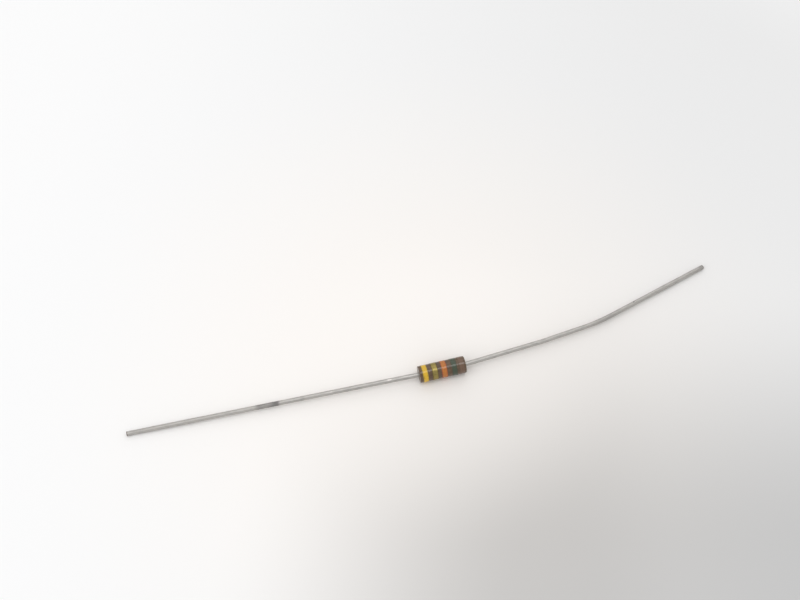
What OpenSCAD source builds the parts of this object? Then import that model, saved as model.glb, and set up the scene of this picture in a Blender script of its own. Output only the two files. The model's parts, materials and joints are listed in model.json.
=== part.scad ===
// Axial resistor: a carbon rod moulded into an insulating jacket, with a headed wire lead at
// each end and five painted code bands. All lengths are in millimetres, all angles in degrees.
//
// The origin is the centre of the jacket, on its axis. +X runs along the jacket to the bent
// lead, +Z is up and +Y is the side that both leads lean to. The resistor lies on a flat
// surface: it touches it along its painted bands and at the tip of each lead.

/* [Jacket] */
// Diameter of the moulded jacket
jacket_d = 2.286; // [1.9:0.002:3.6]
// Length of the jacket, from end face to end face
jacket_l = 6.35; // [5.6:0.05:9.5]
// Radius of the edge round each end face
jacket_edge = 0.07; // [0.02:0.01:0.15]

/* [Carbon rod] */
// Diameter of the carbon rod inside the jacket
rod_d = 1.25; // [1.1:0.01:1.6]
// Thickness of the jacket between each end of the rod and the end face
end_wall = 0.675; // [0.4:0.005:0.9]

/* [Lead wire] */
// Diameter of the tinned wire
lead_d = 0.635; // [0.5:0.005:0.8]
// How far the headed end of each wire reaches into the carbon rod
anchor_depth = 1.35; // [1.1:0.05:2]
// Diameter of the head that holds the wire in the rod
head_d = 0.95; // [0.85:0.01:1.05]
// Length of the full-width part of the head
head_l = 0.35; // [0.2:0.01:0.5]
// Length of the cone between the head and the wire
head_taper_l = 0.4; // [0.2:0.05:0.5]
// Radius of the edge round the blunt end of the head
head_edge = 0.12; // [0.03:0.01:0.18]
// Distance from the end face to the corner where each lead leans off the axis
exit_corner = 0.4; // [0.3:0.05:1.5]
// Radius of the bend at that corner, at the middle of the wire
exit_bend_r = 4; // [1:0.5:5]

/* [Straight lead] */
// Length from the corner at the jacket to the cut tip
straight_l = 38.8; // [20:0.1:60]
// Angle by which the lead leans to +Y at that corner
straight_lean = 2.2; // [0.5:0.1:6]
// Radius of the edge round the cut tip
straight_tip_edge = 0.05; // [0.02:0.01:0.2]

/* [Bent lead] */
// Angle by which the lead leans to +Y at the corner by the jacket
bent_lean = 4.35; // [0.5:0.05:8]
// Length from that corner to the corner of the slight bend
bent_first_l = 10.8; // [5:0.1:20]
// Angle of the slight bend
slight_bend = 2.5; // [0.5:0.1:8]
// Radius of the slight bend, at the middle of the wire
slight_bend_r = 25; // [5:1:40]
// Length from the corner of the slight bend to the corner of the main bend
bent_second_l = 8.5; // [6:0.1:15]
// Angle of the main bend
main_bend = 9.1; // [2:0.1:15]
// Radius of the main bend, at the middle of the wire
main_bend_r = 28; // [5:1:35]
// Length from the corner of the main bend to the tip
bent_last_l = 18.1; // [10:0.1:30]
// Radius of the edge round the worn tip
bent_tip_edge = 0.15; // [0.02:0.01:0.15]

/* [Code bands] */
// Width of each painted band, where it meets the jacket
band_w = 0.76; // [0.4:0.01:0.85]
// Thickness of the paint
band_t = 0.02; // [0.01:0.001:0.022]
// Width over which the paint thins out at each side of a band
band_feather = 0.04; // [0.01:0.01:0.15]
// Bare jacket between the bent lead's end face and the first digit's band
first_band_inset = 0.2; // [0.16:0.01:0.5]
// Bare jacket between the straight lead's end face and the failure rate's band
last_band_inset = 0.37; // [0.16:0.01:0.7]

/* [Hidden] */

// Fineness of round shapes
$fn = 96;

// Overlap where two lengths of wire meet. It is far below any real size, and joins them into
// one solid.
wire_overlap = 1e-8;

jacket_r = jacket_d / 2;
rod_r = rod_d / 2;
rod_l = jacket_l - 2 * end_wall;
lead_r = lead_d / 2;
head_r = head_d / 2;

// Place along +X of the blunt end of a lead's head, and of the corner outside the jacket
anchor_x = jacket_l / 2 - end_wall - anchor_depth;
corner_x = jacket_l / 2 + exit_corner;

// Height of the jacket's axis above the surface that the resistor lies on
axis_height = jacket_r + band_t;

// Middle of the first and of the last band. The three between them sit at these shares of the
// way from the first to the last, a little uneven, as the printing wheels left them.
first_band_x = jacket_l / 2 - first_band_inset - band_w / 2;
last_band_x = -jacket_l / 2 + last_band_inset + band_w / 2;
second_band_share = 0.205;
multiplier_band_share = 0.48;
tolerance_band_share = 0.735;

// A lead's legs, from the jacket outwards. Each is [length from corner to corner, angle of the
// bend at its start, radius of that bend]
straight_legs = [
    [straight_l, straight_lean, exit_bend_r]
];
bent_legs = [
    [bent_first_l, bent_lean, exit_bend_r],
    [bent_second_l, slight_bend, slight_bend_r],
    [bent_last_l, main_bend, main_bend_r]
];

// Colours of the materials
jacket_colour = [0.36, 0.26, 0.18];
carbon_colour = [0.10, 0.10, 0.11];
tin_colour = [0.68, 0.67, 0.65];
brown_paint = [0.36, 0.24, 0.19];
green_paint = [0.22, 0.28, 0.20];
orange_paint = [0.82, 0.42, 0.15];
gold_paint = [0.62, 0.54, 0.28];
yellow_paint = [0.88, 0.70, 0.16];

// Angle from +X to leg i, within the plane that the lead lies in
function heading(legs, i) = i < 0 ? 0 : heading(legs, i - 1) + legs[i][1];

// How far a lead reaches along +X from its corner, within the plane that it lies in
function reach(legs) =
    [for (i = [0 : len(legs) - 1]) legs[i][0] * cos(heading(legs, i))]
    * [for (leg = legs) 1];

// Slope of a lead's plane, so that the underside of its tip meets the surface
function slope(legs) = asin((axis_height - lead_r) / reach(legs));

// Direction of a lead's first leg, which leans to +Y and falls to the surface
function first_direction(legs) =
    let (lean = legs[0][1], fall = slope(legs))
    [cos(lean) * cos(fall), sin(lean), -cos(lean) * sin(fall)];

// Whole angle of the bend at the jacket, which is the lean and the fall together
function exit_angle(legs) = acos(first_direction(legs)[0]);

// Length from the corner at the start of leg i to where that corner's curve ends
function setback(legs, i) =
    legs[i][2] * tan((i == 0 ? exit_angle(legs) : legs[i][1]) / 2);

// Half section of a round bar from 0 to l along Y, with a rounded edge at the far end
module bar_section(r, l, edge) {
    square([r, l - edge]);
    square([r - edge, l]);
    translate([r - edge, l - edge])
        rounded_corner(edge);
}

// Half section of a round bar of length l, centred on the origin, with both edges rounded
module centred_bar_section(r, l, edge) {
    translate([0, -l / 2 + edge])
        square([r, l - 2 * edge]);
    translate([0, -l / 2])
        square([r - edge, l]);
    for (end = [0, 1])
        mirror([0, end])
            translate([r - edge, l / 2 - edge])
                rounded_corner(edge);
}

// Quarter of a disc, which fills the corner of a square
module rounded_corner(r) {
    intersection() {
        circle(r = r);
        square(r);
    }
}

// Plain length of wire from the origin along +X
module wire(l) {
    translate([-wire_overlap, 0, 0])
        rotate([0, 90, 0])
            cylinder(h = l + 2 * wire_overlap, r = lead_r);
}

// Last length of wire from the origin along +X, with a rounded edge at its tip
module wire_to_tip(l, edge) {
    translate([-wire_overlap, 0, 0])
        rotate([0, 90, 0])
            rotate_extrude()
                bar_section(lead_r, l + wire_overlap, edge);
}

// Bend in the wire, from the origin along +X, turning to +Y
module wire_bend(angle, r) {
    translate([0, r, 0])
        rotate([0, 0, -90])
            rotate_extrude(angle = angle)
                translate([r, 0])
                    circle(r = lead_r);
}

// Moves its children by v in a coarse and a fine step, so that no small decimal place is lost
// and the ends of the wire's lengths meet exactly
module move_exactly(v) {
    coarse = [for (c = v) round(100 * c) / 100];
    translate(coarse)
        translate(v - coarse)
            children();
}

// Puts its children where such a bend ends, facing along the wire
module past_bend(angle, r) {
    move_exactly([r * sin(angle), r * (1 - cos(angle)), 0])
        rotate([0, 0, angle])
            children();
}

// Legs of a lead from leg i on, starting along +X where the bend before leg i ends
module lead_legs(legs, tip_edge, i = 0) {
    last = i == len(legs) - 1;
    run = legs[i][0] - setback(legs, i) - (last ? 0 : setback(legs, i + 1));
    if (last) {
        wire_to_tip(run, tip_edge);
    } else {
        wire(run);
        translate([run, 0, 0]) {
            wire_bend(legs[i + 1][1], legs[i + 1][2]);
            past_bend(legs[i + 1][1], legs[i + 1][2])
                lead_legs(legs, tip_edge, i + 1);
        }
    }
}

// Headed end of a lead along +X, from the blunt end of the head out to the given place
module lead_anchor(end_x) {
    l = end_x - anchor_x + wire_overlap;
    translate([anchor_x, 0, 0])
        rotate([0, 90, 0])
            rotate_extrude()
                union() {
                    translate([0, head_l])
                        mirror([0, 1])
                            bar_section(head_r, head_l, head_edge);
                    polygon([
                        [0, head_l],
                        [head_r, head_l],
                        [lead_r, head_l + head_taper_l],
                        [lead_r, l],
                        [0, l]
                    ]);
                }
}

// Whole lead on the +X side. It leaves the jacket along the axis, leans to +Y and down at its
// corner, and stays from there in one plane that slopes down to the surface.
module lead(legs, tip_edge) {
    along = first_direction(legs);
    bend_x = corner_x - setback(legs, 0);
    lead_anchor(bend_x);
    translate([bend_x, 0, 0]) {
        rotate([atan2(along[2], along[1]), 0, 0])
            wire_bend(exit_angle(legs), exit_bend_r);
        move_exactly(setback(legs, 0) * ([1, 0, 0] + along))
            rotate([0, slope(legs), 0])
                rotate([0, 0, legs[0][1]])
                    lead_legs(legs, tip_edge);
    }
}

// Moulded jacket, closed round the carbon rod, with a hole for the wire in each end wall
module insulating_jacket() {
    color(jacket_colour)
        rotate([0, 90, 0])
            difference() {
                rotate_extrude()
                    centred_bar_section(jacket_r, jacket_l, jacket_edge);
                cylinder(h = rod_l, r = rod_r, center = true);
                cylinder(h = 2 * corner_x, r = lead_r, center = true);
            }
}

// Carbon rod, moulded round the headed ends of both leads
module carbon_core() {
    color(carbon_colour)
        difference() {
            rotate([0, 90, 0])
                cylinder(h = rod_l, r = rod_r, center = true);
            for (side = [0, 1])
                mirror([side, 0, 0])
                    lead_anchor(corner_x);
        }
}

// Lead on the -X side, straight from its corner to its tip
module straight_lead() {
    color(tin_colour)
        mirror([1, 0, 0])
            lead(straight_legs, straight_tip_edge);
}

// Lead on the +X side, with a slight bend and a main bend
module bent_lead() {
    color(tin_colour)
        lead(bent_legs, bent_tip_edge);
}

// Painted band round the jacket, its middle at the given share of the way from the first
// band to the last
module code_band(share, paint) {
    middle_x = first_band_x + share * (last_band_x - first_band_x);
    color(paint)
        translate([middle_x, 0, 0])
            rotate([0, 90, 0])
                rotate_extrude()
                    polygon([
                        [jacket_r, -band_w / 2],
                        [jacket_r + band_t, -band_w / 2 + band_feather],
                        [jacket_r + band_t, band_w / 2 - band_feather],
                        [jacket_r, band_w / 2]
                    ]);
}

// The code is read from the bent lead's end: 1, 5, three noughts, 5 percent
module first_digit_band() {
    code_band(0, brown_paint);
}

module second_digit_band() {
    code_band(second_band_share, green_paint);
}

module multiplier_band() {
    code_band(multiplier_band_share, orange_paint);
}

module tolerance_band() {
    code_band(tolerance_band_share, gold_paint);
}

module failure_rate_band() {
    code_band(1, yellow_paint);
}

insulating_jacket();
carbon_core();
straight_lead();
bent_lead();
first_digit_band();
second_digit_band();
multiplier_band();
tolerance_band();
failure_rate_band();
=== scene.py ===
"""Axial resistor: its moulded jacket, painted code bands and two tinned leads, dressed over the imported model.

All lengths are in metres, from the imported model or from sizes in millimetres. +X runs along the jacket to
the bent lead, +Z is up, and +Y is the side that both leads lean to.
"""

import json
import math

import bpy
from mathutils import Matrix, Vector


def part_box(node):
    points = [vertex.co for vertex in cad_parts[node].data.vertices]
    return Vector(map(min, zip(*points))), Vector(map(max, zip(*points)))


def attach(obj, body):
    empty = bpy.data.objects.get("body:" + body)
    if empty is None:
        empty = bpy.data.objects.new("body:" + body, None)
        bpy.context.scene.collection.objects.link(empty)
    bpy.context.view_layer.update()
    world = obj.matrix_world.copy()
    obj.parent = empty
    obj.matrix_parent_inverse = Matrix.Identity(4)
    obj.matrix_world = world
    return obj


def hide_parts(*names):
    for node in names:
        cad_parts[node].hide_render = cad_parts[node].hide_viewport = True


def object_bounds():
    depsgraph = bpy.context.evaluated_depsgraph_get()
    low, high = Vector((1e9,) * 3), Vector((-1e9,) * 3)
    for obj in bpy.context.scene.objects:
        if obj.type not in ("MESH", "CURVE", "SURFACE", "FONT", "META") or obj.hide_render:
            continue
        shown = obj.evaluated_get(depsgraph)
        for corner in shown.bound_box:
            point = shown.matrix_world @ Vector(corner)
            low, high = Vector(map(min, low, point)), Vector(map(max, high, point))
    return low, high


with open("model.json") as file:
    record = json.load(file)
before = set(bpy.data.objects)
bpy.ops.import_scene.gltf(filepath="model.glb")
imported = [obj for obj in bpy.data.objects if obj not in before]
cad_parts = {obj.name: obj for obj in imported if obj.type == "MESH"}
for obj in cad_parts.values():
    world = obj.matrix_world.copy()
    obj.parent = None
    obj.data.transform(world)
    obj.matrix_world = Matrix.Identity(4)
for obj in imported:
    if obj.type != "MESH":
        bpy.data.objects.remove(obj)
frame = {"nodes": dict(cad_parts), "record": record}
CAD_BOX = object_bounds()

MM = 0.001
NEAR = 1e-3 * MM
BODY = "root"

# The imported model's own places and sizes
JACKET_LOW, JACKET_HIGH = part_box("insulating_jacket")
CORE_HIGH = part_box("carbon_core")[1]
JACKET_LENGTH = JACKET_HIGH.x - JACKET_LOW.x
JACKET_RADIUS = JACKET_HIGH.z
CORE_RADIUS = CORE_HIGH.z
FLOOR_HEIGHT = CAD_BOX[0].z
MOUNTS = {mount["name"]: mount for mount in frame["record"]["mounts"]}
WIRE_RADIUS = MOUNTS["straight_lead_end"]["dims"]["r_mm"] * MM

# An edge that goes further than this along X is a lengthwise one, and a steeper edge than this stays sharp
LONG_EDGE = 0.5 * MM
SHARP_ANGLE = math.radians(35)

# Jacket
JACKET_EDGE = 0.07 * MM
JACKET_EDGE_STEPS = 5
JACKET_SIDES = 192
JACKET_CUTS = 70
JACKET_HOLLOWS = 0.005 * MM
JACKET_HOLLOW_SIZE = 0.7 * MM
DIMPLE_RADIUS = 0.52 * MM
DIMPLE_DEPTH = 0.035 * MM

# Bands
BAND_SIDES = 256
BAND_PARTS = 16
BAND_EDGE = 0.016 * MM
BAND_EDGE_STEPS = 4
BAND_WAVES = 0.1 * MM
BAND_WAVE_SIZE = 0.6 * MM
BAND_HOLLOWS = 0.005 * MM
BAND_HOLLOW_SIZE = 0.35 * MM

# Each band is its piece, its node and its slot, and the colours of its thin and its full paint. Gold
# also has its own roughness, and is metallic.
BANDS = (
    ("brown_band", "first_digit_band", "brown_paint", (0.108, 0.065, 0.04), (0.147, 0.087, 0.056)),
    ("green_band", "second_digit_band", "green_paint", (0.062, 0.051, 0.029), (0.047, 0.068, 0.041)),
    ("orange_band", "multiplier_band", "orange_paint", (0.27, 0.056, 0.021), (0.455, 0.155, 0.025)),
    ("gold_band", "tolerance_band", "gold_paint", (0.16, 0.124, 0.042), (0.325, 0.258, 0.088), 0.31, 0.95),
    ("yellow_band", "failure_rate_band", "yellow_paint", (0.195, 0.135, 0.022), (0.67, 0.415, 0.022)),
)

# Headed end of each lead, inside the carbon core
ANCHOR_DEPTH = 1.35 * MM
HEAD_RADIUS = 0.475 * MM
HEAD_LENGTH = 0.35 * MM
HEAD_TAPER = 0.4 * MM
HEAD_EDGE = 0.12 * MM
HEAD_EDGE_STEPS = 5

# Line of the leads, as legs from corner to corner. Each leg is its length, the angle of the
# bend at its start in degrees, and the radius of that bend.
EXIT_CORNER = 0.4 * MM
STRAIGHT_LEGS = ((38.8 * MM, 2.2, 4 * MM),)
BENT_LEGS = ((10.8 * MM, 4.35, 4 * MM), (8.5 * MM, 2.5, 25 * MM), (18.1 * MM, 9.1, 28 * MM))
STRAIGHT_TIP_EDGE = 0.05 * MM
BENT_TIP_EDGE = 0.15 * MM
TIP_EDGE_STEPS = 6
CUT_SLANT = Vector((1, -0.125, -0.068)).normalized()
CUT_SETBACK = 0.045 * MM
WIRE_SIDES = 48
WIRE_PARTS = 10
WIRE_RING_GAP = 0.08 * MM

# Soft waves in the wire's surface, each as its size and its depth, and how far past the jacket they start
WIRE_WAVES = ((2.2 * MM, 0.016 * MM), (0.45 * MM, 0.009 * MM))
WIRE_WAVES_START = 0.1 * MM

# Marks of wear on the leads. X is along the unbent wire from the jacket's middle, Y and Z are across it.
# A tarnished stretch is where it starts, is full, fades and ends along X, and how dark it is.
STRAIGHT_TARNISH = (
    (-25.6 * MM, -24.8 * MM, -22.4 * MM, -21.95 * MM, 0.55),
    (-24.0 * MM, -22.6 * MM, -22.4 * MM, -21.95 * MM, 0.4),
    (-19.4 * MM, -19.1 * MM, -18.9 * MM, -18.6 * MM, 0.2),
)
BENT_TARNISH = (
    (21.5 * MM, 23.5 * MM, 25.0 * MM, 27.0 * MM, 0.2),
    (39.8 * MM, 40.7 * MM, 42.0 * MM, 43.0 * MM, 0.35),
)
# A dent is its middle, half its length, width and height, and its depth. A scrape is also how
# bright it is.
STRAIGHT_SCRAPES = (
    (Vector((-7.2, 0.0, 0.31)) * MM, Vector((0.42, 0.09, 0.09)) * MM, 0.02 * MM, 1.0),
    (Vector((-15.1, -0.05, 0.31)) * MM, Vector((0.25, 0.07, 0.09)) * MM, 0.015 * MM, 0.35),
)
BENT_DENTS = ((Vector((28.9, 0.12, 0.29)) * MM, Vector((0.16, 0.2, 0.2)) * MM, 0.06 * MM),)

# Finishes. A scale is in features of noise per metre, a range is where that noise starts to show and shows
# in full, a relief is the height of the bump made from it, and rougher is how much roughness it adds.
MOULD_MOTTLE_SCALE = 2200
MOULD_MOTTLE_RANGE = (0.35, 0.7)
MOULD_GRAIN_SCALE = 9000
MOULD_RELIEF = 0.001 * MM
MOULD_ROUGHNESS = 0.18
MOULD_ROUGHER = 0.08
MOULD_DARK = (0.087, 0.051, 0.027)
MOULD_LIGHT = (0.13, 0.081, 0.046)

CARBON_SCALE = 16000
CARBON_RELIEF = 0.01 * MM
CARBON_ROUGHNESS = 0.75
CARBON_ROUGHER = 0.15
CARBON_DARK = (0.008, 0.008, 0.009)
CARBON_LIGHT = (0.04, 0.04, 0.042)

# Paint thins out at each end of a band: it is full so far inside the end and gone so far past it, on a
# line that the noise shifts by the feather.
PAINT_PATCH_SCALE = 3200
PAINT_PATCH_RANGE = (0.25, 0.5)
PAINT_GRAIN_SCALE = 9000
PAINT_RELIEF = 0.0008 * MM
PAINT_ROUGHNESS = 0.17
PAINT_ROUGHER = 0.1
PAINT_FEATHER = 0.2 * MM
PAINT_FULL = 0.05 * MM
PAINT_GONE = 0.1 * MM

DRAWN_LINE_SCALE = 26000
DRAWN_LINE_STRETCH = (0.03, 1.0, 1.0)
DRAWN_LINE_RANGE = (0.3, 0.7)
DRAWN_LINE_RELIEF = 0.006 * MM
WIRE_CLOUD_SCALE = 2600
WIRE_CLOUD_STRETCH = (0.35, 1.0, 1.0)
WIRE_CLOUD_RANGE = (0.45, 0.75)
WIRE_ROUGHNESS = 0.34
WIRE_ROUGHER = 0.12
TARNISH_ROUGHER = 0.2
TARNISH_LESS_METAL = 0.35
SCRAPE_SMOOTHER = 0.15
DENT_TARNISH = 0.8
TIN_LINES = (0.42, 0.405, 0.39)
TIN_BRIGHT = (0.53, 0.515, 0.49)
TIN_CLOUDED = (0.38, 0.37, 0.355)
TIN_TARNISHED = (0.21, 0.2, 0.195)
TIN_SCRAPED = (0.86, 0.83, 0.8)
BARE_COPPER = (0.18, 0.145, 0.122)

# Shares of the wire's length, back from its tip, at which the bare copper starts and is at its full share
BARE_START = 0.004
BARE_FULL = 0.0015
BARE_SHARE = 0.85

# Camera at the photograph's place. Its lens and its sensor are in millimetres.
CAMERA_ELEVATION = math.radians(61.383)
CAMERA_TURN = math.radians(14.157)
CAMERA_DISTANCE = 160 * MM
CAMERA_TARGET = Vector((-2.687 * MM, 12.275 * MM, FLOOR_HEIGHT))
CAMERA_LENS = 51.53
CAMERA_SENSOR = 36
CAMERA_CLIPS = (5 * MM, 20)
PICTURE_RIGHT = Vector((math.cos(CAMERA_TURN), -math.sin(CAMERA_TURN), 0))
PICTURE_AWAY = Vector((math.sin(CAMERA_TURN), math.cos(CAMERA_TURN), 0))
UP = Vector((0, 0, 1))

# Each lamp is its direction from the jacket, its distance, its size and its power.
LAMPS = {
    "window_lamp": (PICTURE_AWAY * 0.9 + UP, 0.8, 0.7, 0.75),
    "left_lamp": (-PICTURE_AWAY * 0.5 - PICTURE_RIGHT * 0.9 + UP, 0.8, 0.7, 1.65),
    "ceiling_lamp": (PICTURE_RIGHT * 0.12 - PICTURE_AWAY * 0.03 + UP, 0.6, 0.18, 0.39),
}
WORLD_LIGHT = 0.71
WORLD_SEEN = 0.75
WORLD_COLOUR = (1.0, 0.99, 0.98, 1.0)

# Floor, with painted shade and painted light on it. Across and away are as in the picture, from the jacket's
# middle. A pair of lengths is where a tone starts and where it is full, and a shade is how much darker the
# floor gets there.
FLOOR_SIZE = 12
FLOOR_COLOUR = (0.935, 0.942, 0.95)
# A warmer, paler floor tone round the jacket is painted bounce light.
FLOOR_COLOUR_WARM_LIT = (1.0, 0.972, 0.945)
FLOOR_NEAR = (60 * MM, 8 * MM)
FLOOR_ROUGHNESS = 0.6
FLOOR_SPECULAR = 0.2
# Painted shade, darker towards the right.
RIGHT_ACROSS = (-70 * MM, 54 * MM)
RIGHT_REACH = (112 * MM, 75 * MM)
RIGHT_PAINTED_SHADE = 0.13
# A painted shadow in the corner towards the viewer at the right, made weaker towards its right.
CORNER_AWAY = (15 * MM, -24 * MM)
CORNER_ACROSS = (-24 * MM, 16 * MM)
CORNER_SLANT = 0.2
CORNER_REACH = (230 * MM, 60 * MM)
CORNER_PAINTED_SHADOW = 0.355
CORNER_PALER_ACROSS = (16 * MM, 31 * MM)
CORNER_PALER = 0.11
# Painted light round the jacket: the painted shade is lighter there.
JACKET_PAINTED_LIGHT_REACH = (26 * MM, 6 * MM)
JACKET_PAINTED_LIGHT = 0.3
FAR_REACH = (250 * MM, 700 * MM)


# Mesh tools


def deselect_all():
    """Leaves edit mode and selects nothing."""
    if bpy.context.object and bpy.context.object.mode != "OBJECT":
        bpy.ops.object.mode_set(mode="OBJECT")
    bpy.ops.object.select_all(action="DESELECT")


def make_active(piece):
    """Makes this the only selected object."""
    deselect_all()
    piece.select_set(True)
    bpy.context.view_layer.objects.active = piece


def name_piece(name):
    """Names the new object and its mesh, puts its place in its mesh, and returns it."""
    piece = bpy.context.object
    piece.name = name
    piece.data.name = name
    make_active(piece)
    bpy.ops.object.transform_apply(location=True, rotation=True, scale=True)
    return piece


def add_tube(name, sides, radius, low_x, high_x, ends="NGON"):
    """A cylinder along X."""
    deselect_all()
    bpy.ops.mesh.primitive_cylinder_add(
        vertices=sides,
        radius=radius,
        depth=high_x - low_x,
        end_fill_type=ends,
        location=((low_x + high_x) / 2, 0, 0),
        rotation=(0, math.radians(90), 0),
    )
    return name_piece(name)


def pick(piece, kind, wanted):
    """Goes to edit mode with only the edges or faces selected for which wanted(corners) holds."""
    bpy.ops.object.mode_set(mode="OBJECT")
    mesh = piece.data
    for items in (mesh.vertices, mesh.edges, mesh.polygons):
        items.foreach_set("select", [False] * len(items))
    for item in mesh.edges if kind == "EDGE" else mesh.polygons:
        item.select = wanted([mesh.vertices[i].co for i in item.vertices])
    bpy.ops.object.mode_set(mode="EDIT")
    bpy.ops.mesh.select_mode(type=kind)


def is_lengthwise(ends):
    """Whether an edge runs far along X."""
    return abs(ends[0].x - ends[1].x) > LONG_EDGE


def divide_lengthwise(piece, *parts):
    """Cuts rings across all long edges along X, for so many parts, and then each part in its turn."""
    for number in parts:
        pick(piece, "EDGE", is_lengthwise)
        bpy.ops.mesh.subdivide(number_cuts=number - 1)
    bpy.ops.object.mode_set(mode="OBJECT")


def round_edges(piece, width, segments, wanted):
    """Rounds the edges for which wanted(corners) holds."""
    pick(piece, "EDGE", wanted)
    bpy.ops.mesh.bevel(offset=width, offset_type="OFFSET", segments=segments, profile=0.5)
    bpy.ops.object.mode_set(mode="OBJECT")


def apply_modifier(piece, kind, **settings):
    """Adds a modifier with these settings and applies it."""
    make_active(piece)
    modifier = piece.modifiers.new(kind.title(), kind)
    for name, value in settings.items():
        setattr(modifier, name, value)
    bpy.ops.object.modifier_apply(modifier=modifier.name)


def displace(piece, share, **settings):
    """Moves the surface, by the full strength where share(place) is 1 and not at all where it is 0."""
    make_active(piece)
    group = piece.vertex_groups.new(name="moved")
    for vertex in piece.data.vertices:
        group.add([vertex.index], share(vertex.co), "REPLACE")
    apply_modifier(piece, "DISPLACE", vertex_group=group.name, **settings)
    piece.vertex_groups.clear()


def make_uneven(piece, size, depth, share, direction="NORMAL", mid_level=0.5):
    """Moves the surface in soft clouds of this size, by the depth from lowest to highest."""
    clouds = bpy.data.textures.new("clouds", "CLOUDS")
    clouds.noise_scale = size
    clouds.noise_depth = 1
    displace(
        piece,
        share,
        texture=clouds,
        texture_coords="LOCAL",
        direction=direction,
        strength=depth,
        mid_level=mid_level,
    )


def dent(piece, middle, half, depth):
    """Presses the surface in round the middle, over a length, width and height of twice the half sizes."""

    def share(place):
        away = sum(((place[i] - middle[i]) / half[i]) ** 2 for i in range(3))
        return max(0.0, 1.0 - away) ** 2

    displace(piece, share, strength=-depth, mid_level=0.0)


def finish_piece(piece, material, node):
    """Shades the piece smooth apart from its sharp edges, and puts it in its node's place."""
    make_active(piece)
    bpy.ops.object.shade_smooth_by_angle(angle=SHARP_ANGLE)
    piece.data.materials.append(material)
    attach(piece, BODY)
    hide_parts(node)


# Shader expressions


class Link:
    """A socket of a node, or rather the number or colour that it gives, for use in expressions."""

    def __init__(self, nodes, socket):
        self.nodes = nodes
        self.socket = socket

    def math(self, operation, *values):
        """The result of a Math node on this value and the others."""
        return self.nodes.node("Math", {"operation": operation}, dict(enumerate((self, *values))))

    def __add__(self, other):
        return self.math("ADD", other)

    def __radd__(self, other):
        return self.math("ADD", other)

    def __sub__(self, other):
        return self.math("SUBTRACT", other)

    def __rsub__(self, other):
        return self.nodes.node("Math", {"operation": "SUBTRACT"}, {0: other, 1: self})

    def __mul__(self, other):
        return self.math("MULTIPLY", other)

    def __rmul__(self, other):
        return self.math("MULTIPLY", other)


class Nodes:
    """The nodes of a new material or world, made from Python expressions."""

    def __init__(self, owner):
        owner.use_nodes = True
        self.owner = owner
        self.tree = owner.node_tree
        self.tree.nodes.clear()

    def node(self, kind, settings=None, inputs=None, output=0):
        """Adds a shader node with these settings and inputs, and returns one of its outputs as a link."""
        node = self.tree.nodes.new("ShaderNode" + kind)
        for name, value in (settings or {}).items():
            setattr(node, name, value)
        for name, value in (inputs or {}).items():
            if isinstance(value, Link):
                self.tree.links.new(value.socket, node.inputs[name])
            else:
                node.inputs[name].default_value = value
        return Link(self, node.outputs[output]) if node.outputs else None

    def place(self):
        """Object coordinates, in metres."""
        return self.node("TexCoord", output="Object")

    def unbent(self):
        """Coordinates of a lead before it was bent: X along the wire, from the jacket's middle."""
        return self.node("Attribute", {"attribute_name": "unbent"}, output="Vector")

    def stretched(self, vector, scale):
        """The vector, scaled along each axis."""
        return self.node("VectorMath", {"operation": "MULTIPLY"}, {0: vector, 1: scale})

    def along(self, vector, direction):
        """How far the vector goes along the direction."""
        settings = {"operation": "DOT_PRODUCT"}
        return self.node("VectorMath", settings, {0: vector, 1: direction}, output="Value")

    def length(self, vector):
        """How long the vector is."""
        return self.node("VectorMath", {"operation": "LENGTH"}, {0: vector}, output="Value")

    def spot(self, vector, middle, half):
        """1 round the middle, and 0 past the half sizes from it."""
        shift = [-middle[i] / half[i] for i in range(3)]
        scale = [1 / half[i] for i in range(3)]
        offset = self.node("VectorMath", {"operation": "MULTIPLY_ADD"}, {0: vector, 1: scale, 2: shift})
        return self.rise(self.length(offset), 1.0, 0.4)

    def noise(self, vector, scale, detail=2.0, roughness=0.5):
        """Cloudy noise from 0 to 1, with scale in features per metre."""
        values = {"Vector": vector, "Scale": scale, "Detail": detail, "Roughness": roughness}
        return self.node("TexNoise", inputs=values)

    def rise(self, value, start, end):
        """A smooth step, from 0 where value is start to 1 where it is end."""
        settings = {"interpolation_type": "SMOOTHSTEP"}
        return self.node("MapRange", settings, {"Value": value, "From Min": start, "From Max": end})

    def mix(self, share, first, second):
        """A colour between the first and the second."""
        first, second = (colour if isinstance(colour, Link) else (*colour, 1.0) for colour in (first, second))
        return self.node("Mix", {"data_type": "RGBA"}, {0: share, 6: first, 7: second}, output=2)

    def seen(self):
        """1 for rays that show the surroundings, also reflected or through glass, and 0 for the others."""
        names = ("Is Camera Ray", "Is Glossy Ray", "Is Transmission Ray")
        camera, glossy, transmitted = (self.node("LightPath", output=name) for name in names)
        return camera.math("MAXIMUM", glossy).math("MAXIMUM", transmitted)

    def bump(self, height, distance):
        """A normal from a height from 0 to 1, which stands for the distance in metres."""
        return self.node("Bump", inputs={"Height": height, "Distance": distance})

    def shader(self, **values):
        """The surface shader, whose sockets are named with underscores for spaces."""
        inputs = {name.replace("_", " "): value for name, value in values.items()}
        return self.node("BsdfPrincipled", inputs=inputs)

    def finished(self, shader):
        """The material, with this shader as its surface."""
        self.node("OutputMaterial", inputs={"Surface": shader})
        return self.owner

    def surface(self, **values):
        """The material, with one surface shader."""
        return self.finished(self.shader(**values))


# Finishes


def moulded_phenolic():
    """Dark brown moulded plastic, a little mottled, with the fine pits of the mould."""
    f = Nodes(bpy.data.materials.new("moulded_phenolic"))
    place = f.place()
    mottle = f.noise(place, MOULD_MOTTLE_SCALE, detail=5, roughness=0.6)
    grain = f.noise(place, MOULD_GRAIN_SCALE)
    return f.surface(
        Base_Color=f.mix(f.rise(mottle, *MOULD_MOTTLE_RANGE), MOULD_DARK, MOULD_LIGHT),
        Roughness=MOULD_ROUGHNESS + MOULD_ROUGHER * mottle,
        Normal=f.bump(grain, MOULD_RELIEF),
    )


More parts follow.
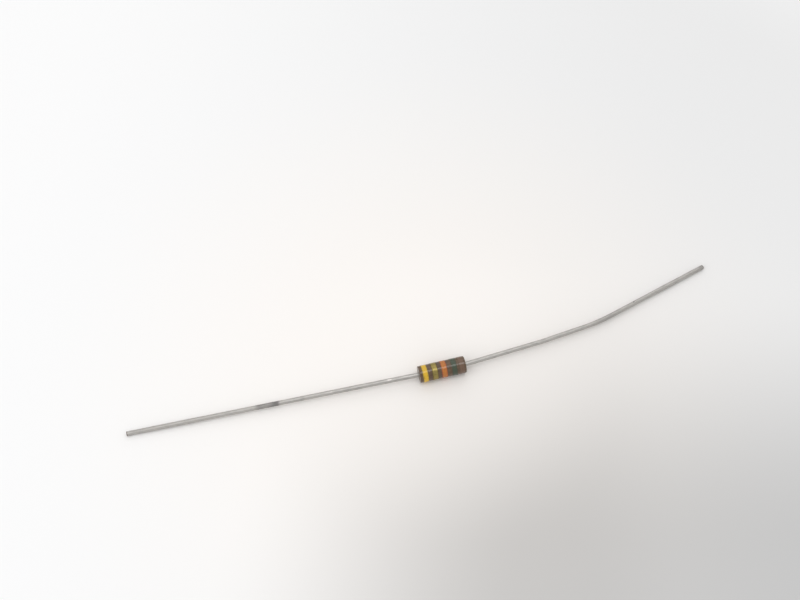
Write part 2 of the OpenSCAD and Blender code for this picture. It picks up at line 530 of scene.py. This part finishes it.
def carbon_composition():
    """Near black, granular carbon rod."""
    f = Nodes(bpy.data.materials.new("carbon_composition"))
    grain = f.noise(f.place(), CARBON_SCALE, detail=5, roughness=0.7)
    return f.surface(
        Base_Color=f.mix(grain, CARBON_DARK, CARBON_LIGHT),
        Roughness=CARBON_ROUGHNESS + CARBON_ROUGHER * grain,
        Normal=f.bump(grain, CARBON_RELIEF),
    )


def band_paint(name, low_x, high_x, thin, full, roughness, metallic):
    """Printed paint, which is thin and dark in places and along both edges of its band."""
    f = Nodes(bpy.data.materials.new(name))
    place = f.place()
    patches = f.noise(place, PAINT_PATCH_SCALE, detail=4, roughness=0.6)
    grain = f.noise(place, PAINT_GRAIN_SCALE)
    from_middle = (f.along(place, (1, 0, 0)) - (low_x + high_x) / 2).math("ABSOLUTE")
    reach = (high_x - low_x) / 2
    inside = f.rise(from_middle + PAINT_FEATHER * patches, reach + PAINT_GONE, reach - PAINT_FULL)
    cover = f.rise(patches, *PAINT_PATCH_RANGE) * inside
    return f.surface(
        Base_Color=f.mix(cover, thin, full),
        Metallic=metallic,
        Roughness=roughness + PAINT_ROUGHER * grain,
        Normal=f.bump(grain, PAINT_RELIEF),
    )


def tinned_wire(name, tip_x, stretches, scrapes, dents):
    """Dull tinned wire with fine drawn lines along it, its own marks of wear, and bare copper at its tip."""
    f = Nodes(bpy.data.materials.new(name))
    wire = f.unbent()
    along = f.along(wire, (1, 0, 0))
    lines = f.noise(f.stretched(wire, DRAWN_LINE_STRETCH), DRAWN_LINE_SCALE, detail=3, roughness=0.6)
    clouds = f.noise(f.stretched(wire, WIRE_CLOUD_STRETCH), WIRE_CLOUD_SCALE, detail=4, roughness=0.6)
    tarnish = 0.0
    for start, full, fading, end, darkness in stretches:
        patchy = darkness * (0.5 + clouds)
        tarnish = tarnish + patchy * f.rise(along, start, full) * f.rise(along, end, fading)
    for middle, half, _ in dents:
        tarnish = tarnish + DENT_TARNISH * f.spot(wire, middle, half)
    scraped = 0.0
    for middle, half, _, brightness in scrapes:
        scraped = scraped + brightness * f.spot(wire, middle, half)
    bright = f.mix(f.rise(lines, *DRAWN_LINE_RANGE), TIN_LINES, TIN_BRIGHT)
    clouded = f.mix(f.rise(clouds, *WIRE_CLOUD_RANGE), bright, TIN_CLOUDED)
    colour = f.mix(tarnish, clouded, TIN_TARNISHED)
    if scrapes:
        colour = f.mix(scraped, colour, TIN_SCRAPED)
    bare = f.rise(along, tip_x * (1 - BARE_START), tip_x * (1 - BARE_FULL))
    roughness = WIRE_ROUGHNESS + WIRE_ROUGHER * clouds + TARNISH_ROUGHER * tarnish
    return f.surface(
        Base_Color=f.mix(BARE_SHARE * bare, colour, BARE_COPPER),
        Metallic=1.0 - TARNISH_LESS_METAL * tarnish,
        Roughness=roughness - SCRAPE_SMOOTHER * scraped,
        Normal=f.bump(lines, DRAWN_LINE_RELIEF),
    )


# Leads


class WirePath:
    """The line of a lead: along the jacket's axis, then from corner to corner with a round bend at each."""

    def __init__(self, side, legs):
        headings = self.headings(legs)
        reach = sum(length * math.cos(math.radians(heading)) for length, heading in headings)
        fall = math.asin((-FLOOR_HEIGHT - WIRE_RADIUS) / reach)
        slope = Matrix.Rotation(fall, 3, "Y")
        axis = Vector((1, 0, 0))
        corner = Vector((JACKET_LENGTH / 2 + EXIT_CORNER, 0, 0))
        directions = [axis]
        for _, heading in headings:
            directions.append(slope @ Matrix.Rotation(math.radians(heading), 3, "Z") @ axis)
        self.side = side
        self.stretches = []
        start, unbent, turned = Vector((0, 0, 0)), 0.0, Matrix.Identity(3)
        for i, (length, _, radius) in enumerate(legs):
            before, after = directions[i], directions[i + 1]
            angle = before.angle(after)
            setback = radius * math.tan(angle / 2)
            bend_start = corner - setback * before
            self.stretches.append((unbent, start, turned, None))
            unbent += (bend_start - start).length
            pivot_axis = before.cross(after).normalized()
            centre = bend_start + radius * pivot_axis.cross(before)
            self.stretches.append((unbent, bend_start, turned, (centre, pivot_axis, radius)))
            unbent += radius * angle
            turned = Matrix.Rotation(angle, 3, pivot_axis) @ turned
            start = corner + setback * after
            corner = corner + length * after
        self.stretches.append((unbent, start, turned, None))
        self.length = unbent + (corner - start).length

    @staticmethod
    def headings(legs):
        """Each leg's length and its heading in degrees, within the plane that the legs lie in."""
        return [(leg[0], sum(other[1] for other in legs[: i + 1])) for i, leg in enumerate(legs)]

    def place(self, point):
        """Where a point of the straight, unbent wire lies once the wire is bent."""
        unbent, start, turned, bend = [stretch for stretch in self.stretches if stretch[0] <= point.x][-1]
        if bend:
            centre, pivot_axis, radius = bend
            across = start + turned @ Vector((0, point.y, point.z))
            swing = Matrix.Rotation((point.x - unbent) / radius, 3, pivot_axis)
            placed = centre + swing @ (across - centre)
        else:
            placed = start + turned @ Vector((point.x - unbent, point.y, point.z))
        return Vector((placed.x * self.side, placed.y, placed.z))


def straight_wire(name, path, tip_edge, cut):
    """The wire before it is bent, along +X from the blunt end of its head to its tip."""
    head_x = CORE_HIGH.x - ANCHOR_DEPTH
    plain_x = head_x + HEAD_LENGTH + HEAD_TAPER
    wire = add_tube(name, WIRE_SIDES, WIRE_RADIUS, plain_x, path.length)
    tip = Vector((path.length, 0, 0))
    normal = Vector((1, 0, 0))
    if cut:
        tip.x -= CUT_SETBACK
        normal = CUT_SLANT
        pick(wire, "FACE", lambda corners: True)
        bpy.ops.mesh.bisect(plane_co=tip, plane_no=normal, use_fill=True, clear_outer=True)
    round_edges(
        wire,
        tip_edge,
        TIP_EDGE_STEPS,
        lambda ends: all(abs((p - tip).dot(normal)) < NEAR for p in ends),
    )
    pick(wire, "FACE", lambda corners: all(p.x < plain_x + NEAR for p in corners))
    pull_end(wire, HEAD_TAPER, HEAD_RADIUS)
    pull_end(wire, HEAD_LENGTH, HEAD_RADIUS)
    round_edges(wire, HEAD_EDGE, HEAD_EDGE_STEPS, lambda ends: all(p.x < head_x + NEAR for p in ends))
    divide_lengthwise(wire, WIRE_PARTS, round((path.length - plain_x) / WIRE_PARTS / WIRE_RING_GAP))
    return wire


def pull_end(wire, step, radius):
    """Extrudes the selected end face towards -X by the step, and scales it to the radius."""
    bpy.ops.mesh.extrude_region_move(TRANSFORM_OT_translate={"value": (-step, 0, 0)})
    bpy.ops.object.mode_set(mode="OBJECT")
    end = [vertex.co for vertex in wire.data.vertices if vertex.select]
    widen = radius / max(math.hypot(place.y, place.z) for place in end)
    bpy.ops.object.mode_set(mode="EDIT")
    bpy.ops.transform.resize(value=(1, widen, widen))


def wear_wire(wire, marks):
    """Gives the tinned surface outside the jacket its soft waves, and its dents and scrapes."""
    outside = JACKET_LENGTH / 2 + WIRE_WAVES_START
    for size, depth in WIRE_WAVES:
        make_uneven(wire, size, depth, lambda place: min(1.0, max(0.0, (place.x - outside) / MM)))
    for middle, half, depth, *_ in marks:
        dent(wire, Vector((abs(middle.x), middle.y, middle.z)), half, depth)


def keep_unbent(wire, side):
    """Keeps each vertex's place on the straight wire, for the materials."""
    attribute = wire.data.attributes.new("unbent", "FLOAT_VECTOR", "POINT")
    for vertex, kept in zip(wire.data.vertices, attribute.data):
        kept.vector = (side * vertex.co.x, vertex.co.y, vertex.co.z)


def bend_wire(wire, path):
    """Lays the straight wire along its path."""
    for vertex in wire.data.vertices:
        vertex.co = path.place(vertex.co)
    if path.side < 0:
        wire.data.flip_normals()


def tinned_lead(name, node, side, legs, tip_edge, cut, stretches, scrapes=(), dents=()):
    """One whole lead: headed, cut to length, tinned, bent and worn."""
    path = WirePath(side, legs)
    lead = straight_wire(name, path, tip_edge, cut)
    wear_wire(lead, (*scrapes, *dents))
    keep_unbent(lead, side)
    bend_wire(lead, path)
    material = tinned_wire(name, side * path.length, stretches, scrapes, dents)
    finish_piece(lead, material, node)


# Jacket and bands


def moulded_jacket():
    """The jacket, closed round the core, with a dimple where each wire leaves."""
    jacket = add_tube("moulded_jacket", JACKET_SIDES, JACKET_RADIUS, JACKET_LOW.x, JACKET_HIGH.x)
    for side in (-1, 1):
        # The dimple in the end face
        end_x = side * JACKET_LENGTH / 2
        pick(jacket, "FACE", lambda corners: all(abs(p.x - end_x) < NEAR for p in corners))
        bpy.ops.mesh.inset(thickness=JACKET_RADIUS - DIMPLE_RADIUS)
        bpy.ops.mesh.inset(thickness=DIMPLE_RADIUS - WIRE_RADIUS, depth=-DIMPLE_DEPTH)
        # The hole for the wire, as deep as the end wall
        step = CORE_HIGH.x * side - end_x + DIMPLE_DEPTH * side
        bpy.ops.mesh.extrude_region_move(TRANSFORM_OT_translate={"value": (step, 0, 0)})
        # The inner face of the end wall, out to the core's size
        bpy.ops.mesh.extrude_region_move(TRANSFORM_OT_translate={"value": (0, 0, 0)})
        widen = CORE_RADIUS / WIRE_RADIUS
        bpy.ops.transform.resize(value=(1, widen, widen))
    # The wall of the cavity, between the two inner faces
    pick(jacket, "FACE", lambda corners: len(corners) > 4)
    bpy.ops.mesh.bridge_edge_loops()
    rim = JACKET_RADIUS - NEAR
    at_end = JACKET_LENGTH / 2 - NEAR

    def on_outside(ends):
        return all(math.hypot(p.y, p.z) > rim for p in ends)

    def on_rim(ends):
        return on_outside(ends) and abs(ends[0].x + ends[1].x) > 2 * at_end

    def in_plain_part(place):
        return float(on_outside([place]) and abs(place.x) < at_end - JACKET_EDGE)

    round_edges(jacket, JACKET_EDGE, JACKET_EDGE_STEPS, on_rim)
    make_active(jacket)
    bpy.ops.object.mode_set(mode="EDIT")
    bpy.ops.mesh.select_all(action="SELECT")
    bpy.ops.mesh.normals_make_consistent(inside=False)
    pick(jacket, "EDGE", lambda ends: on_outside(ends) and is_lengthwise(ends))
    bpy.ops.mesh.subdivide(number_cuts=JACKET_CUTS)
    make_uneven(jacket, JACKET_HOLLOW_SIZE, JACKET_HOLLOWS, in_plain_part, mid_level=1.0)
    finish_piece(jacket, moulded_phenolic(), "insulating_jacket")


def printed_band(name, node, slot, thin, full, roughness=PAINT_ROUGHNESS, metallic=0.0):
    """A ring of paint round the jacket, with soft and slightly wavy edges."""
    low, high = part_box(node)
    paint = high.z - JACKET_RADIUS
    band = add_tube(name, BAND_SIDES, high.z, low.x, high.x, ends="NOTHING")
    divide_lengthwise(band, BAND_PARTS)
    apply_modifier(band, "SOLIDIFY", thickness=paint, offset=-1)
    outer = high.z - paint / 4
    at_edge = (high.x - low.x) / 2 - NEAR
    middle = (high.x + low.x) / 2

    def is_outer(place):
        return math.hypot(place.y, place.z) > outer

    def on_rim(ends):
        return all(abs(p.x - middle) > at_edge and is_outer(p) for p in ends)

    round_edges(band, BAND_EDGE, BAND_EDGE_STEPS, on_rim)
    make_uneven(band, BAND_WAVE_SIZE, BAND_WAVES, lambda place: 1.0, direction="X")
    make_uneven(band, BAND_HOLLOW_SIZE, BAND_HOLLOWS, lambda place: float(is_outer(place)), mid_level=1.0)
    finish_piece(band, band_paint(slot, low.x, high.x, thin, full, roughness, metallic), node)


# Surroundings


def photo_camera():
    """The camera at the photograph's place."""
    view = math.cos(CAMERA_ELEVATION) * PICTURE_AWAY - math.sin(CAMERA_ELEVATION) * UP
    data = bpy.data.cameras.new("photo_camera")
    data.sensor_width = CAMERA_SENSOR
    data.lens = CAMERA_LENS
    data.clip_start, data.clip_end = CAMERA_CLIPS
    camera = bpy.data.objects.new("photo_camera", data)
    bpy.context.scene.collection.objects.link(camera)
    camera.location = CAMERA_TARGET - CAMERA_DISTANCE * view
    camera.rotation_euler = view.to_track_quat("-Z", "Y").to_euler()
    bpy.context.scene.camera = camera


def soft_lamp(name, direction, distance, size, power):
    """A square lamp that faces the jacket."""
    data = bpy.data.lights.new(name, "AREA")
    data.size = size
    data.energy = power
    lamp = bpy.data.objects.new(name, data)
    bpy.context.scene.collection.objects.link(lamp)
    lamp.location = direction.normalized() * distance
    lamp.rotation_euler = direction.to_track_quat("Z", "Y").to_euler()


def studio_light():
    """Broad lamps behind and at the left, a smaller one overhead, and an even pale world."""
    for name, lamp in LAMPS.items():
        soft_lamp(name, *lamp)
    world = bpy.data.worlds.new("pale_world")
    w = Nodes(world)
    strength = WORLD_LIGHT + (WORLD_SEEN - WORLD_LIGHT) * w.seen()
    background = w.node("Background", inputs={"Color": WORLD_COLOUR, "Strength": strength})
    w.node("OutputWorld", inputs={"Surface": background})
    bpy.context.scene.world = world


def pale_floor():
    """A plain pale surface with painted shade: darker at the right and in a painted shadow towards the viewer,
    and paler and warmer in painted light round the jacket. Far off it takes the world's tone.
    """
    deselect_all()
    bpy.ops.mesh.primitive_plane_add(size=FLOOR_SIZE, location=(0, 0, FLOOR_HEIGHT))
    floor = name_piece("pale_floor")
    f = Nodes(bpy.data.materials.new("pale_floor"))
    place = f.place()
    across = f.along(place, PICTURE_RIGHT)
    away = f.along(place, PICTURE_AWAY)
    distance = f.length(place)
    # Painted shade towards the right, and a painted shadow in the corner towards the viewer at the right
    right = f.rise(across, *RIGHT_ACROSS) * f.rise(distance, *RIGHT_REACH)
    slanted = across - CORNER_SLANT * away
    corner = f.rise(away, *CORNER_AWAY) * f.rise(slanted, *CORNER_ACROSS) * f.rise(distance, *CORNER_REACH)
    corner = corner * (1.0 - CORNER_PALER * f.rise(across, *CORNER_PALER_ACROSS))
    shade = 1.0 - (1.0 - RIGHT_PAINTED_SHADE * right) * (1.0 - CORNER_PAINTED_SHADOW * corner)
    # Painted light: the painted shade is lighter round the jacket
    shade = shade * (1.0 - JACKET_PAINTED_LIGHT * f.rise(distance, *JACKET_PAINTED_LIGHT_REACH))
    # Painted bounce light: the floor's tone is warmer and paler round the jacket
    tone = f.mix(f.rise(distance, *FLOOR_NEAR), FLOOR_COLOUR, FLOOR_COLOUR_WARM_LIT)
    paper = f.shader(
        Base_Color=f.mix(shade, tone, (0.0, 0.0, 0.0)),
        Roughness=FLOOR_ROUGHNESS,
        Specular_IOR_Level=FLOOR_SPECULAR,
    )
    glow = f.node("Emission", inputs={"Color": WORLD_COLOUR, "Strength": WORLD_SEEN})
    far = f.rise(distance, *FAR_REACH) * f.seen()
    floor.data.materials.append(f.finished(f.node("MixShader", inputs={0: far, 1: paper, 2: glow})))


# The object

photo_camera()
studio_light()
pale_floor()
moulded_jacket()
core_materials = frame["nodes"]["carbon_core"].data.materials
core_materials.clear()
core_materials.append(carbon_composition())
tinned_lead(
    "straight_tinned_lead",
    "straight_lead",
    -1,
    STRAIGHT_LEGS,
    STRAIGHT_TIP_EDGE,
    True,
    STRAIGHT_TARNISH,
    scrapes=STRAIGHT_SCRAPES,
)
tinned_lead(
    "bent_tinned_lead",
    "bent_lead",
    1,
    BENT_LEGS,
    BENT_TIP_EDGE,
    False,
    BENT_TARNISH,
    dents=BENT_DENTS,
)
for band in BANDS:
    printed_band(*band)

bpy.context.scene.view_settings.view_transform = "Standard"
